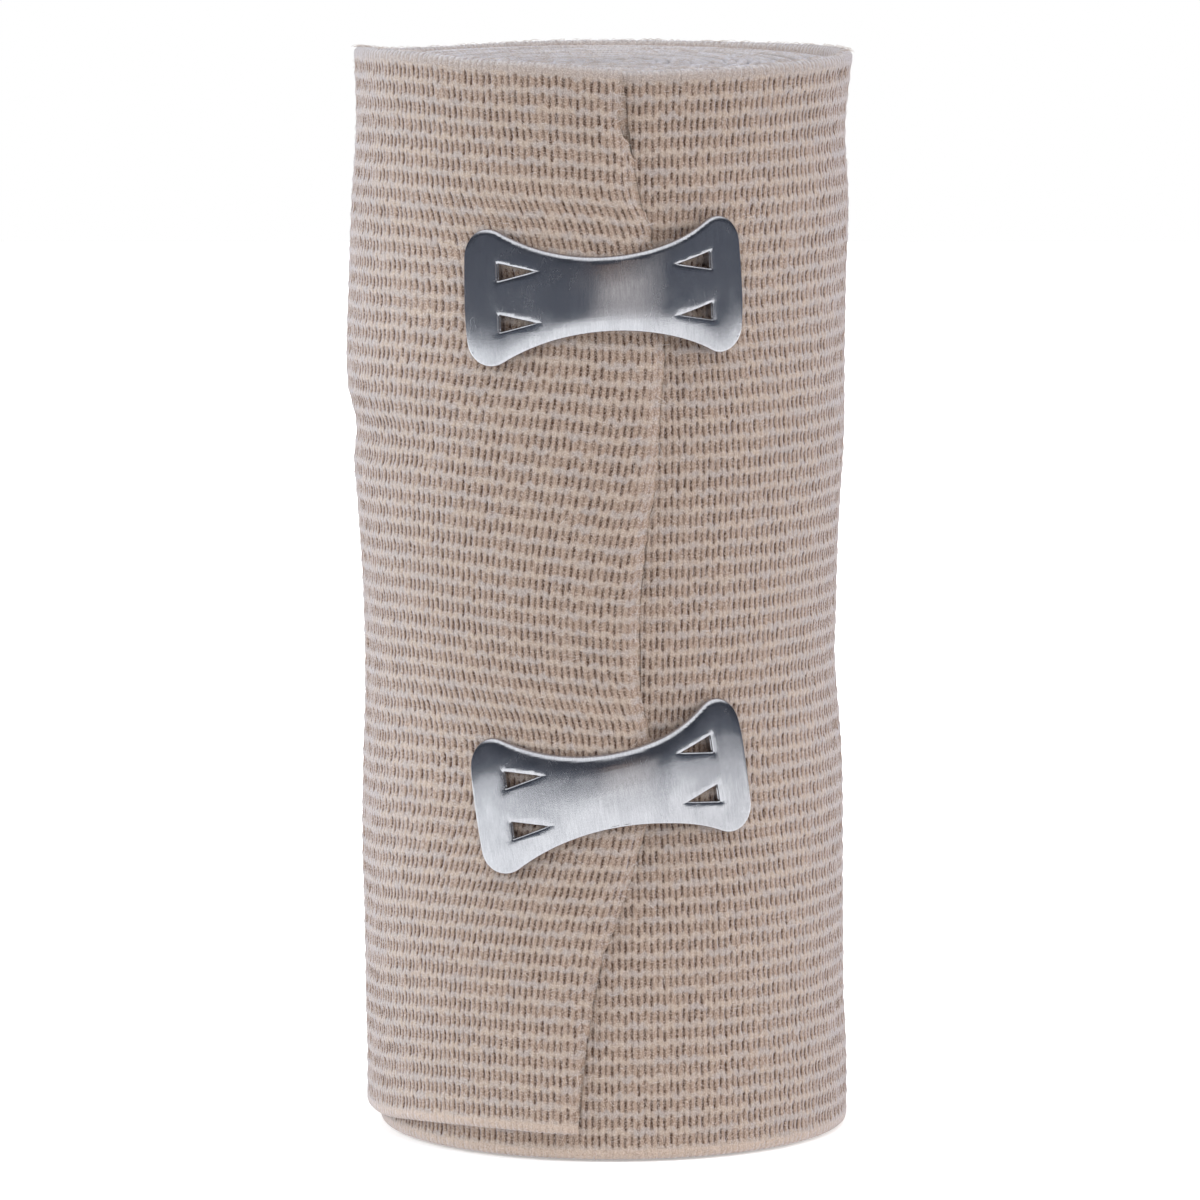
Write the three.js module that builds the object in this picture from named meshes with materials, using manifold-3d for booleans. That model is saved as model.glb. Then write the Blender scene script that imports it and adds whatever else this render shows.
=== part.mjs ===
// Elastic compression bandage, rolled up and standing on its end, its loose end
// held by two stamped metal clips. Millimetres, +Z up, the front faces -Y.
// The origin is on the winding axis, on the floor. Angles are in degrees from the
// front, positive towards +X, and go on counting past 180 along the wound cloth.

import * as THREE from 'three';
import { mergeGeometries, mergeVertices } from 'three/addons/utils/BufferGeometryUtils.js';
import Module from 'manifold-3d';

const { degToRad, radToDeg, lerp, smoothstep } = THREE.MathUtils;

// Cloth and winding.
const clothThickness = 1.0;
const clearance = 0.3;
const finestEdge = 0.005;
const sharedPoint = 1e-4;
const layerPitch = clothThickness + clearance;
const cutEndMean = 10;
const rootAngle = -170;
const turn = 360;

// Roll.
const rollTop = 100.1;
const coreDrop = 0.7;
const coreRadius = 15;
const proudRadius = 19.5;
const edgeRound = 0.6;
const mainTurns = 8;
const rollColumns = 72;
const sideRows = 30;

// Loose end.
const looseColumns = 36;
const looseRows = 30;

// Clips, as cut from flat sheet and then bent round the roll. Beyond the cut end
// of the cloth a clip steps down to the layer below between two angles.
const clipHalfLength = 13.3;
const clipWaistHalf = 3.4;
const clipThickness = 0.45;
const cornerRadius = 2.35;
const cornerHeight = 3.9;
const cornerSteps = 4;
const armSteps = 8;
const clipRows = 6;
const clipCrown = 0.3;
const clipCloth = 0.36;
const clipSpan = 5;
const clipStepFrom = 1;
const clipStepTo = 18;

// Prongs, punched out of the clip and bent into the cloth.
const prongBase = 9.9;
const punchLength = 3.55;
const punchWidth = 1.78;
const prongLength = 3.3;
const prongTip = 0.25;
const prongRow = 2.33;

const clips = [
  { name: 'clip_upper', angle: 1.5, z: 80.1, tilt: 3 },
  { name: 'clip_lower', angle: 3.3, z: 34.6, tilt: 9.2 },
];

// Distance from the axis to the outside of the cloth, at the left and the right.
const girthRows = [
  { z: 0, left: 21.9, right: 23.2 },
  { z: 7.5, left: 21.9, right: 23.15 },
  { z: 11.2, left: 22.0, right: 22.95 },
  { z: 18.8, left: 22.1, right: 22.85 },
  { z: 26.3, left: 22.3, right: 22.8 },
  { z: 33.9, left: 22.2, right: 22.7 },
  { z: 41.5, left: 22.0, right: 22.2 },
  { z: 49.0, left: 22.1, right: 22.1 },
  { z: 56.5, left: 22.5, right: 22.3 },
  { z: 64.1, left: 23.1, right: 22.75 },
  { z: 71.6, left: 23.6, right: 22.8 },
  { z: 79.0, left: 23.4, right: 22.9 },
  { z: 86.6, left: 23.1, right: 23.1 },
  { z: 94.0, left: 22.65, right: 22.8 },
  { z: 99.6, left: 22.8, right: 23.4 },
];

// Where the cut end of the cloth lies, up the front of the roll.
const cutEndRows = [
  { z: 2.3, angle: -5.3 },
  { z: 6.7, angle: -4.9 },
  { z: 12.3, angle: -2.8 },
  { z: 17.9, angle: 0 },
  { z: 22.5, angle: 4.2 },
  { z: 26.9, angle: 7.9 },
  { z: 30.6, angle: 10.4 },
  { z: 35.5, angle: 12.0 },
  { z: 40.4, angle: 11.6 },
  { z: 42.8, angle: 9.9 },
  { z: 48.3, angle: 9.5 },
  { z: 55.6, angle: 10.6 },
  { z: 62.9, angle: 13.0 },
  { z: 69.3, angle: 13.9 },
  { z: 74.3, angle: 14.8 },
  { z: 81.0, angle: 12.8 },
  { z: 86.8, angle: 10.3 },
  { z: 88.4, angle: 8.7 },
  { z: 93.0, angle: 6.9 },
  { z: 94.8, angle: 5.0 },
  { z: 100, angle: 5.0 },
];

// Heights of the two selvedges of the loose end, which sits a little high on the roll.
const selvedgeRows = [
  { angle: -170, low: 0.4, high: 100.2 },
  { angle: -130, low: 0.9, high: 100.8 },
  { angle: -90, low: 1.5, high: 101.2 },
  { angle: -64, low: 1.7, high: 101.3 },
  { angle: -53, low: 2.1, high: 101.4 },
  { angle: -30, low: 2.6, high: 101.3 },
  { angle: -9, low: 2.5, high: 100.9 },
  { angle: 5, low: 2.3, high: 100.3 },
];

// Soft troughs pressed into the roll, each along a stretch of one height. They ease
// out over this share of their half length.
const creaseEase = 0.4;
const creaseRows = [
  { z: 65.8, from: -105, to: -32, depth: 0.5, half: 4 },
  { z: 44.0, from: 45, to: 110, depth: 0.15, half: 5 },
];

const clothMaterial = new THREE.MeshStandardMaterial({ color: 0xb5a193, roughness: 0.95, metalness: 0 });
const clipMaterial = new THREE.MeshStandardMaterial({ color: 0xc4c6ca, roughness: 0.3, metalness: 1 });

// Reads one column of a table at a place between two of its rows.
function readRows(rows, key, column, place) {
  const next = rows.findIndex((row) => row[key] >= place);
  if (next === 0) return rows[0][column];
  if (next < 0) return rows.at(-1)[column];
  const before = rows[next - 1];
  const after = rows[next];
  const share = (place - before[key]) / (after[key] - before[key]);
  return lerp(before[column], after[column], share);
}

function onRoll(angle, z, radius) {
  const around = degToRad(angle % turn);
  return new THREE.Vector3(radius * Math.sin(around), -radius * Math.cos(around), z);
}

// Turns of cloth wound between a place on the outermost cloth and the cut end.
function turnsBack(angle) {
  return (cutEndMean - angle) / turn;
}

function creaseDepth(angle, z) {
  const front = angle < -turn / 2 ? angle + turn : angle;
  return creaseRows.reduce((sum, row) => {
    const across = Math.max(0, 1 - Math.abs(z - row.z) / row.half);
    const middle = (row.from + row.to) / 2;
    const along = Math.max(0, 1 - Math.abs(front - middle) / ((row.to - row.from) / 2));
    return sum + row.depth * smoothstep(across, 0, 1) * smoothstep(along, 0, creaseEase);
  }, 0);
}

// Outside of the cloth: a slightly uneven cylinder that grows by a layer each turn.
function outside(angle, z) {
  const left = readRows(girthRows, 'z', 'left', z) + layerPitch * turnsBack(-90);
  const right = readRows(girthRows, 'z', 'right', z) + layerPitch * (turnsBack(90) + 1);
  const full = (left + right) / 2 + ((right - left) / 2) * Math.sin(degToRad(angle));
  return full - layerPitch * turnsBack(angle) - creaseDepth(angle, z);
}

// Moves each point of a geometry to the place that a function gives it.
function warp(geometry, place) {
  const position = geometry.attributes.position;
  const uv = geometry.attributes.uv;
  for (let i = 0; i < position.count; i += 1) {
    const local = new THREE.Vector3().fromBufferAttribute(position, i);
    const moved = place(local, uv ? uv.getX(i) : 0, uv ? uv.getY(i) : 0);
    position.setXYZ(i, moved.x, moved.y, moved.z);
  }
  return geometry;
}

// Leaves positions alone, shares the points that meet and drops faces with no area.
function closed(geometry) {
  const bare = geometry.clone();
  bare.deleteAttribute('normal');
  bare.deleteAttribute('uv');
  const shared = mergeVertices(bare, sharedPoint);
  const corners = shared.index.array;
  const kept = [];
  for (let i = 0; i < corners.length; i += 3) {
    const [a, b, c] = corners.slice(i, i + 3);
    if (a !== b && b !== c && c !== a) kept.push(a, b, c);
  }
  shared.setIndex(kept);
  return shared;
}

const wasm = await Module();
wasm.setup();

function toSolid(geometry) {
  const shared = closed(geometry);
  return new wasm.Manifold(new wasm.Mesh({
    numProp: 3,
    tolerance: finestEdge,
    vertProperties: new Float32Array(shared.attributes.position.array),
    triVerts: new Uint32Array(shared.index.array),
  }));
}

function toGeometry(solid) {
  const mesh = solid.getMesh();
  const geometry = new THREE.BufferGeometry();
  geometry.setAttribute('position', new THREE.BufferAttribute(new Float32Array(mesh.vertProperties), 3));
  geometry.setIndex(new THREE.BufferAttribute(new Uint32Array(mesh.triVerts), 1));
  return geometry;
}

function cutAway(geometry, cutters) {
  return toGeometry(cutters.reduce((rest, cutter) => rest.subtract(toSolid(cutter)), toSolid(geometry)));
}

function joined(geometry, additions) {
  return toGeometry(additions.reduce((whole, added) => whole.add(toSolid(added)), toSolid(geometry)));
}

// Crest height of the top face: the core has sunk a little below the outer turns.
function crestHeight(radius) {
  return rollTop - coreDrop * (1 - smoothstep(radius, coreRadius, proudRadius));
}

// Each row of the roll's profile gives its radius and height at a share of the last turn.
function rollProfile() {
  const start = rootAngle - turn;
  const groove = rollTop - edgeRound;
  const footRadius = (share) => outside(start + turn * share, 0) - edgeRound;
  const innerRim = (share) => outside(start + turn * share, groove) - layerPitch * share;
  const ringRadius = (ring, share) => innerRim(share) * (1 - (ring - share) / mainTurns);
  const rows = [
    () => [0, 0],
    (share) => [footRadius(share) - layerPitch * share, 0],
    (share) => [footRadius(share), 0],
  ];
  for (let row = 0; row <= sideRows; row += 1) {
    const z = lerp(edgeRound, groove, row / sideRows);
    rows.push((share) => [outside(start + turn * share, z), z]);
  }
  const rim = rows.length - 1;
  rows.push((share) => {
    const radius = (rows[rim](share)[0] + ringRadius(1, share)) / 2;
    return [radius, crestHeight(radius)];
  });
  for (let half = 2; half <= 2 * mainTurns; half += 1) {
    const dip = half % 2 ? 0 : edgeRound;
    rows.push((share) => {
      const radius = ringRadius(half / 2, share);
      return [radius, crestHeight(radius) - dip];
    });
  }
  rows.push((share) => [ringRadius(mainTurns, share) / 2, crestHeight(0) - edgeRound * (1 - share)]);
  rows.push(() => [0, crestHeight(0) - edgeRound]);
  return { rows, foot: 2, rim };
}

function profilePoint(rows, row, share) {
  const [radius, z] = rows[row](share);
  return onRoll(rootAngle - turn + turn * share, z, radius);
}

// The skin is turned like a lathe profile, but each column belongs to a later share
// of the last turn, so it ends one layer further out than it starts.
function rollSkin({ rows }) {
  const sketch = rows.map((row) => new THREE.Vector2(...row(0)));
  const last = rows.length - 1;
  return warp(new THREE.LatheGeometry(sketch, rollColumns), (_, share, v) =>
    profilePoint(rows, Math.round(v * last), share));
}

// The step at the back where the outermost layer lifts off as the loose end.
function rollStep({ rows, foot, rim }) {
  const steps = rim - foot + 1;
  return warp(new THREE.PlaneGeometry(1, 1, 1, steps), (_, u, v) => {
    const inner = u > 0.5;
    const row = foot + Math.round(v * steps);
    return profilePoint(rows, inner ? Math.min(row, rim) : row, inner ? 0 : 1);
  });
}

function woundRoll() {
  const profile = rollProfile();
  return mergeGeometries([rollSkin(profile), rollStep(profile)]);
}

function looseEndPoint(along, up, out) {
  const nearAngle = lerp(rootAngle, cutEndMean, along);
  const low = readRows(selvedgeRows, 'angle', 'low', nearAngle);
  const high = readRows(selvedgeRows, 'angle', 'high', nearAngle);
  const z = lerp(low, high, up);
  const rootGap = radToDeg(clearance / outside(rootAngle, z));
  const angle = lerp(rootAngle + rootGap, readRows(cutEndRows, 'z', 'angle', z), along);
  return onRoll(angle, z, outside(angle, z) - clothThickness * (1 - out));
}

function looseEnd() {
  const block = new THREE.BoxGeometry(1, 1, 1, looseColumns, looseRows, 1);
  return warp(block, (p) => looseEndPoint(p.x + 0.5, p.y + 0.5, p.z + 0.5));
}

// Half outline of a flat clip from its middle to its end: a hollow side that runs
// into a round corner and a short straight end.
function clipOutline() {
  const cornerX = clipHalfLength - cornerRadius;
  const rise = cornerHeight - clipWaistHalf;
  const hollow = (cornerX ** 2 + rise ** 2 - cornerRadius ** 2) / (2 * (cornerRadius + rise));
  const hollowY = clipWaistHalf + hollow;
  const away = cornerX / (hollow + cornerRadius);
  const meetX = cornerX - cornerRadius * away;
  const outline = [];
  for (let step = 0; step < armSteps; step += 1) {
    const x = (meetX * step) / armSteps;
    outline.push({ x, half: hollowY - Math.sqrt(hollow ** 2 - x ** 2) });
  }
  const fromAngle = -Math.asin(away);
  for (let step = 0; step <= cornerSteps; step += 1) {
    const around = lerp(fromAngle, Math.PI / 2, step / cornerSteps);
    outline.push({
      x: cornerX + cornerRadius * Math.sin(around),
      half: cornerHeight + cornerRadius * Math.cos(around),
    });
  }
  return outline;
}

const outline = clipOutline();

function flatPlate() {
  const arm = outline.length - 1;
  const block = new THREE.BoxGeometry(2, 2, 1, 2 * arm, clipRows, 1);
  return warp(block, (p) => {
    const { x, half } = outline[Math.round(Math.abs(p.x) * arm)];
    return new THREE.Vector3(Math.sign(p.x) * x, p.y * half, (p.z + 0.5) * clipThickness);
  });
}

function prongPlaces() {
  return [-1, 1].flatMap((end) => [-1, 1].map((row) => ({ end, y: row * prongRow })));
}

// The triangular hole that a prong was punched from points to the clip's middle.
function punchedHole({ end, y }) {
  const base = end * prongBase;
  const triangle = new THREE.Shape([
    new THREE.Vector2(base, y - punchWidth / 2),
    new THREE.Vector2(base, y + punchWidth / 2),
    new THREE.Vector2(base - end * punchLength, y),
  ]);
  const depth = 3 * clipThickness;
  return new THREE.ExtrudeGeometry(triangle, { depth, bevelEnabled: false }).translate(0, 0, -clipThickness);
}

// A prong hangs from the outer edge of its hole. Grown by the clearance, it is
// also the slit that it makes in the cloth.
function prong({ end, y }, grown) {
  const root = punchWidth / 2 + grown;
  const tip = prongTip / 2 + grown;
  const top = clipThickness / 2;
  const low = -prongLength - grown;
  const face = new THREE.Shape([
    new THREE.Vector2(-tip, low),
    new THREE.Vector2(tip, low),
    new THREE.Vector2(root, top),
    new THREE.Vector2(-root, top),
  ]);
  const depth = clipThickness + 2 * grown;
  const tab = new THREE.ExtrudeGeometry(face, { depth, bevelEnabled: false });
  tab.translate(0, 0, -depth / 2);
  tab.rotateX(Math.PI / 2);
  tab.rotateZ(Math.PI / 2);
  return tab.translate(end * (prongBase + clipThickness / 4), y, 0);
}

// How far the underside of a clip is from the axis: flat on the loose end, then
// down to the layer below beyond the cut end.
function clipSeat(clip, angle, z) {
  const above = outside(angle, clip.z + clipSpan);
  const below = outside(angle, clip.z - clipSpan);
  const lean = (above - below) / (2 * clipSpan);
  const cutEnd = readRows(cutEndRows, 'z', 'angle', clip.z);
  const drop = layerPitch * smoothstep(angle, cutEnd + clipStepFrom, cutEnd + clipStepTo);
  return (above + below) / 2 + lean * (z - clip.z) + clipCloth - drop;
}

function halfWidthAt(x) {
  return readRows(outline, 'x', 'half', Math.abs(x));
}

// Bends a point of the flat clip round the roll, crowned so that its long edges lie lowest.
function bendClip(clip, p) {
  const tilt = degToRad(clip.tilt);
  const along = p.x * Math.cos(tilt) - p.y * Math.sin(tilt);
  const z = clip.z + p.x * Math.sin(tilt) + p.y * Math.cos(tilt);
  const angle = clip.angle + radToDeg(along / clipSeat(clip, clip.angle, clip.z));
  const crown = clipCrown * (1 - (p.y / halfWidthAt(p.x)) ** 2);
  return onRoll(angle, z, clipSeat(clip, angle, z) + crown + p.z);
}

function bentClip(clip) {
  const holed = cutAway(flatPlate(), prongPlaces().map(punchedHole));
  const pronged = joined(holed, prongPlaces().map((place) => prong(place, 0)));
  return warp(pronged, (p) => bendClip(clip, p));
}

function prongSlits() {
  return clips.flatMap((clip) =>
    prongPlaces().map((place) => warp(prong(place, clearance), (p) => bendClip(clip, p))));
}

function named(name, geometry, material) {
  const smooth = closed(geometry);
  smooth.computeVertexNormals();
  const mesh = new THREE.Mesh(smooth, material);
  mesh.name = name;
  return mesh;
}

const slits = prongSlits();
const bandageRoll = new THREE.Group();
bandageRoll.add(named('wound_roll', cutAway(woundRoll(), slits), clothMaterial));
bandageRoll.add(named('loose_end', cutAway(looseEnd(), slits), clothMaterial));
clips.forEach((clip) => bandageRoll.add(named(clip.name, bentClip(clip), clipMaterial)));

export default bandageRoll;
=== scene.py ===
"""Elastic compression bandage, rolled up and standing on its end, held by two clips.

Metres in Blender, +Z up, the front faces -Y. Sizes below are in millimetres unless
they say otherwise, and are turned into metres when a mesh is written. Angles are in
degrees from the front, positive towards +X, and count backwards along the wound cloth.
"""
import math

import bmesh
import bpy
import numpy as np
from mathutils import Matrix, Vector


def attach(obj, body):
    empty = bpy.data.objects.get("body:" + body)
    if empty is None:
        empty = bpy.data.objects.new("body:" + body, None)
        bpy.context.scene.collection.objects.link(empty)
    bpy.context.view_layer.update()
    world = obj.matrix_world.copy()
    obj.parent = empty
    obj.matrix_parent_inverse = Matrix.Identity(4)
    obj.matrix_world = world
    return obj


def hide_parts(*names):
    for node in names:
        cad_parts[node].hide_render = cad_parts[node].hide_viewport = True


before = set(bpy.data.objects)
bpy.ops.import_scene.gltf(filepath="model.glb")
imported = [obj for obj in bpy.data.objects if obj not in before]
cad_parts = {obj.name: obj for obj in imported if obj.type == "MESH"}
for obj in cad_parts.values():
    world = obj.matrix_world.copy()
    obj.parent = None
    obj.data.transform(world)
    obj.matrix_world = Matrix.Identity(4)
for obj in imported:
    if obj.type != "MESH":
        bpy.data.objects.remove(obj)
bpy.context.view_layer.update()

MM = 0.001
TURN = 360.0
SAME_POINT = 0.0001

# Weave: ribs run up the roll, rows run round it. Places and lengths along the weave are
# counted in ribs and rows, depths are in millimetres.
RIB = 0.62
MEAN_RADIUS = 22.6
RIB_ANGLE = math.degrees(RIB / MEAN_RADIUS)
RIBS_ALL = 330
ROWS = 60
EDGE_ROWS = 0.25
STAGGER = 0.07
SLIT_HALF_WIDTH = 0.24
SLIT_HALF_LENGTH = 0.3
SLIT_ENDS = (0.55, 1.3)
SLIT_DEPTH = 0.14
SLIT_DEEPEST = 1.3
BAND_RISE = 0.03
SELVEDGE_SCALLOP = 0.05
SELVEDGE_EASE = (0.3, 0.6)
SELVEDGE_ROW = 2.4 * RIB
RIB_PARTS = (0.25, 0.5, 0.75)
ROW_PARTS = (0.28, 0.5, 0.72, 1.0)

# How one slit differs from the next: mean and spread, and the limits of its strength, which sets both its
# depth and how much painted shade it gets.
WEAVE_SEED = 11
SLIT_STRENGTH = (0.95, 0.3)
SLIT_STRENGTH_LIMITS = (0.15, 1.7)
SLIT_ASIDE = (0.0, 0.045)
SLIT_ABOVE = (0.0, 0.035)
CUT_WANDER = (0.0, 0.09)

# Winding. The core is round, and the cloth takes up the outer form over CORE_EASE turns.
CUT_END_MEAN = 10.0
ROOT_ANGLE = -170.0
OUTER_PITCH = 1.3
OUTER_THICK = 1.15
INNER_PITCH = 1.05
INNER_THICK = 1.02
INNER_FROM = 1.4
CORE_EASE = 5.0
CORE_RADIUS = 1.4
ROLL_TOP = 100.1
CORE_DROP = 0.5

# Ribs where one length of the strip ends and the next begins.
ROOT_RIB = (CUT_END_MEAN - ROOT_ANGLE) / RIB_ANGLE
UNDER_RIB = 236.0
INNER_RIB = 313.0
INNER_TURNS = (MEAN_RADIUS + OUTER_PITCH / 2 - OUTER_PITCH * INNER_FROM - CORE_RADIUS) / INNER_PITCH
LAST_RIB = (INNER_FROM + INNER_TURNS) * TURN / RIB_ANGLE
INNER_RIB_STEP = 3.5
HEM_ROWS = 11.5
ABOVE_HEM = 15

# How many points run up the plain parts of the strip: the back of the outer turns, the
# part of the turn under them that lies above its hem, the inner turns.
BACK_POINTS = 13
ABOVE_HEM_POINTS = 7
INNER_POINTS = 5
INNER_BACK_EACH = 3

# How the edges of the inner turns wander: (waves along the strip, start, share of the
# height), and the height over the top edge, over the bottom edge and where it begins.
INNER_WAVES = ((5.3, 0.0, 1.0), (13.7, 1.0, 0.7), (41.0, 0.0, 0.4))
INNER_WAVE_TOP = 0.1
INNER_WAVE_FOOT = 0.12
INNER_WAVE_FROM = (1.4, 2.0)
INNER_CROWN = 0.6

# (height, outside of the cloth at the left, at the right).
GIRTH = (
    (0, 21.9, 23.2), (7.5, 21.9, 23.15), (11.2, 22.0, 22.95), (18.8, 22.1, 22.85),
    (26.3, 22.3, 22.8), (33.9, 22.2, 22.7), (41.5, 22.0, 22.2), (49.0, 22.1, 22.1),
    (56.5, 22.5, 22.3), (64.1, 23.1, 22.75), (71.6, 23.6, 22.8), (79.0, 23.4, 22.9),
    (86.6, 23.1, 23.1), (94.0, 22.65, 22.8), (99.6, 22.8, 23.4),
)

# (height, angle of the cut end, lean of the ribs beside it).
CUT_END = (
    (2.3, -5.3, -7.5), (6.7, -4.9, -7.5), (12.3, -2.8, -7.2), (17.9, 0.0, -6.2),
    (22.5, 4.2, -4.2), (26.9, 7.9, -1.6), (30.6, 10.4, 0.4), (35.5, 12.0, 2.0),
    (40.4, 11.6, 1.6), (42.8, 9.9, -0.1), (48.3, 9.5, -1.3), (55.6, 10.6, 0.3),
    (62.9, 13.0, 3.9), (69.3, 13.9, 6.2), (74.3, 14.8, 7.0), (81.0, 12.8, 5.4),
    (86.8, 10.3, 2.6), (88.4, 8.7, 1.0), (93.0, 6.9, 0.2), (94.8, 5.0, 0.0),
    (100.0, 5.0, 0.0),
)
LEAN_REACH = 42.0

# Where the clips' ends pull on the ribs, and how far, in degrees: the outermost length
# at the left, the length under it at the right.
CLIP_END_RIBS = (29, 210)
CLIP_PULL = (4.6, 3.4)
PULL_RIBS = 14
PULL_HEIGHT = 9

# The cut end: its cloth thins, is pressed on to the roll, and its edge is rounded and a
# little ragged. Over CUT_RIBS the ribs make room for the slant.
CUT_RIBS = 12.0
CUT_THINNED = 0.7
CUT_THIN_RIBS = (-0.6, 2.6)
CUT_PRESSED = 0.14
CUT_PRESSED_RIBS = 3.0
CUT_ROUND = 0.15
CUT_RAGGED = 0.15
# Ribs in from the cut edge that get painted shade and no sheen.
CUT_SHADED_RIBS = 0.28
NO_EDGE = 0.001

# The cloth beside the cut end is stretched flat between these heights. Its slits begin
# and are whole this many ribs in, where it is slack and where it is stretched.
STRETCHED = (28, 42, 68, 80)
SLITS_FROM = ((0.3, 1.5), (1.0, 3.4))

# (angle along the outermost cloth, lower selvedge, upper selvedge).
SELVEDGES = (
    (-480, 0.0, 98.9), (-440, 0.0, 99.2), (-400, 0.0, 99.7), (-350, 0.0, 100.1),
    (-270, 0.0, 100.45), (-215, 0.15, 99.9),
    (-170, 0.4, 99.8), (-130, 0.9, 99.7), (-110, 1.2, 100.1), (-90, 1.5, 100.8),
    (-64, 1.7, 101.3), (-53, 2.1, 101.4), (-30, 2.6, 101.1), (-9, 2.5, 100.8),
    (5, 2.3, 100.3),
)

# (height, how far the rows sag beside the cut end).
SAG = (
    (0, 0.0), (25, 0.1), (40, 0.5), (52, 1.2), (64, 1.1), (74, 0.4), (88, 0.0), (101, 0.0),
)
SAG_REACH = 26.0

# (height, first angle, last angle, depth, half width) of the soft troughs.
CREASES = (
    (65.8, -105, -32, 0.5, 4.0),
    (44.0, 45, 110, 0.15, 5.0),
)
CREASE_EASE = 0.4

# Clips, as cut from flat sheet: (name, angle, height, tilt in degrees, where the ridge
# of the crown lies across the width, from -1 at the lower edge to 1 at the upper).
CLIPS = (
    ("clip_upper", 1.5, 80.1, 3.0, -0.3),
    ("clip_lower", 3.3, 34.6, 9.2, 0.45),
)
CLIP_HALF_LENGTH = 13.3
CLIP_WAIST_HALF = 3.4
CLIP_THICK = 0.45
CLIP_BEVEL = 0.18
CORNER_RADIUS = 2.35
CORNER_HEIGHT = 3.9
ARM_POINTS = 20
CORNER_POINTS = 14

# How a clip sits: how far it bows out, how its upper edge rolls over, how far it stands
# off the cloth, and where it steps down beyond the cut end.
CLIP_CROWN = 0.3
CLIP_LIP = 0.2
CLIP_LIP_REACH = 0.5
CLIP_CLOTH = 0.36
CLIP_SPAN = 5.0
CLIP_STEP = (1.0, 18.0)

# A clip's sheet is divided this finely before it is bent, out to these half sizes.
CLIP_GRID = 0.36
CLIP_GRID_REACH = (13.0, 6.0)
CLIP_GRID_START = 0.013

# The punched holes and the prongs turned in from them, as (end, height) of each.
PRONG_BASE = 9.9
PRONG_ROW = 2.33
PRONG_LENGTH = 3.3
PRONG_TIP = 0.25
PRONG_CURL = 0.5
PRONG_THICK = 0.8 * CLIP_THICK
PRONG_ROOT = 0.6 * CLIP_THICK
PRONG_GRID = {"x_segments": 4, "y_segments": 10}
PUNCH_LENGTH = 3.3
PUNCH_WIDTH = 1.56
PUNCHES = [(end, y) for end in (-1, 1) for y in (-PRONG_ROW, PRONG_ROW)]
HOLE_DENT = 0.05
HOLE_DENT_REACH = 0.4

# Loose fibres on the cloth: on its outside, of them some at the cut end, on the turns at
# the top, and on the rim.
FIBRE_SEED = 5
FIBRE_RADIUS = 0.014
FIBRE_LENGTH = (0.4, 1.2)
FIBRE_HEIGHT = (0.03, 0.2)
FIBRE_BEND = 0.25
FIBRE_ROOT = 0.04
FIBRE_POINTS = 5
OUTSIDE_FIBRES = 2900
OUTSIDE_FIRST_RIB = 0.6
EDGE_FIBRES = 160
EDGE_FIBRE_RIBS = 0.4
THIN_RIBS = 2.6
THIN_SUNK = 0.35
TOP_FIBRES = 1500
TOP_FIBRE_REACH = 20.6
RIM_FIBRES = 500
RIM_ANGLES = (-400, 5)
RIM_ACROSS = (0.1, 0.9)

# Camera: how far off, how high, and what it looks at.
CAMERA_AWAY = 850.0
CAMERA_ELEVATION = 7.5
CAMERA_AIM = 49.0
CAMERA_LENS = 272.85
SENSOR = 36.0


def read_rows(table, place, column=1):
    """Reads a column of a table at many places, along a smooth curve through its rows."""
    xs = np.array([row[0] for row in table], float)
    ys = np.array([row[column] for row in table], float)
    slopes = np.gradient(ys, xs)
    place = np.clip(place, xs[0], xs[-1])
    i = np.clip(np.searchsorted(xs, place) - 1, 0, len(xs) - 2)
    span = xs[i + 1] - xs[i]
    t = (place - xs[i]) / span
    return ((2 * t**3 - 3 * t**2 + 1) * ys[i] + (t**3 - 2 * t**2 + t) * span * slopes[i]
            + (3 * t**2 - 2 * t**3) * ys[i + 1] + (t**3 - t**2) * span * slopes[i + 1])


def ease(x, low=0.0, high=1.0):
    """Goes smoothly from 0 at low to 1 at high."""
    t = np.clip((x - low) / (high - low), 0, 1)
    return t * t * (3 - 2 * t)


def turns_back(angle):
    """Turns of cloth between a place on it and its cut end."""
    return (CUT_END_MEAN - angle) / TURN


def crease_depth(angle, z):
    """How deep the soft troughs are at a place."""
    front = (angle + TURN / 2) % TURN - TURN / 2
    depth = 0.0
    for height, first, last, deepest, half in CREASES:
        across = np.clip(1 - np.abs(z - height) / half, 0, 1)
        along = np.clip(1 - np.abs(front - (first + last) / 2) / ((last - first) / 2), 0, 1)
        depth = depth + deepest * ease(across) * ease(along, 0, CREASE_EASE)
    return depth


def outside(angle, z):
    """Outside of the cloth: an uneven cylinder that grows by a layer each turn."""
    left = read_rows(GIRTH, z, 1) + OUTER_PITCH * turns_back(-90)
    right = read_rows(GIRTH, z, 2) + OUTER_PITCH * (turns_back(90) + 1)
    middle = (left + right) / 2
    uneven = (right - left) / 2
    turns = turns_back(angle)
    inside = ease(turns, INNER_FROM, INNER_FROM + CORE_EASE)
    core = np.mean([(row[1] + row[2]) / 2 for row in GIRTH]) + OUTER_PITCH / 2
    middle = middle + (core - middle) * inside
    uneven = uneven * (1 - inside)
    wound = np.where(turns < INNER_FROM, OUTER_PITCH * turns,
                     OUTER_PITCH * INNER_FROM + INNER_PITCH * (turns - INNER_FROM))
    return (middle + uneven * np.sin(np.radians(angle)) - wound
            - crease_depth(angle, z) * (1 - inside))


def on_roll(angle, z, radius):
    """Places at these angles, heights and radii."""
    around = np.radians(angle)
    return np.stack([radius * np.sin(around), -radius * np.cos(around), z], axis=-1)


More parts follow.
